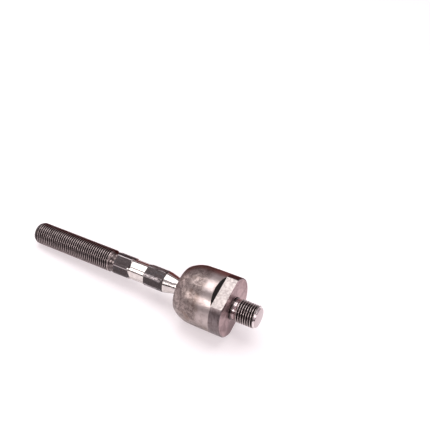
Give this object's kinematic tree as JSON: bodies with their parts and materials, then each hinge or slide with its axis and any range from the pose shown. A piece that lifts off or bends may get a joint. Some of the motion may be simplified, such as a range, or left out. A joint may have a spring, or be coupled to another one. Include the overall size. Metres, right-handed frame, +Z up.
{
  "type": "inner tie rod end",
  "caption": "Inner tie rod end: a threaded steel rod whose ball turns in a cup housing with wrench flats, a flat seating face and a male threaded stud.",
  "frame": {"origin": "centre of the housing's seating face, where the stud leaves it", "axes": "+X along the rod's axis at rest, from the rod's threaded end towards the tip of the rack stud; +Z up; the wrench flats are turned 14.5 degrees about X"},
  "size_m": [0.159, 0.0366, 0.0366],
  "materials": {
    "forged_steel": "forged steel with a thin brown heat tint, turned at the seating face",
    "rod_steel": "dark rolled thread and black forged bands with bright ground bands",
    "seat_plastic": "satin moulded",
    "ground_steel": "ground",
    "spring_steel": "blued, oiled",
    "shim_brass": "rolled",
    "grease": "wet, translucent amber"
  },
  "bodies": {
    "housing": {"socket_housing": "forged_steel"},
    "seat_pack": {"front_seat": "seat_plastic", "disc_spring_ball_side": "spring_steel", "disc_spring_stud_side": "spring_steel", "shim": "shim_brass", "grease_reserve": "grease"},
    "pressure_seat": {"rear_seat": "seat_plastic", "thrust_washer": "ground_steel"},
    "ball_grease": {"grease_film": "grease"},
    "rod": {"tie_rod": "rod_steel"}
  },
  "joints": [
    {"name": "swing_direction", "type": "hinge", "parent": "housing", "child": "seat_pack", "pos_m": [-0.0215, 0, 0], "axis": [1, 0, 0], "continuous": true},
    {"name": "seat_float", "type": "slide", "parent": "seat_pack", "child": "pressure_seat", "axis": [1, 0, 0], "range_m": [0, 0.0003], "stiffness_N_per_m": 20000, "springref_m": -0.0005, "deforming": ["disc_spring_ball_side", "disc_spring_stud_side"]},
    {"name": "rod_swing", "type": "hinge", "parent": "seat_pack", "child": "ball_grease", "pos_m": [-0.0215, 0, 0], "axis": [0, 1, 0], "range_deg": [-25, 25]},
    {"name": "rod_spin", "type": "hinge", "parent": "ball_grease", "child": "rod", "pos_m": [-0.0215, 0, 0], "axis": [1, 0, 0], "continuous": true}
  ]
}
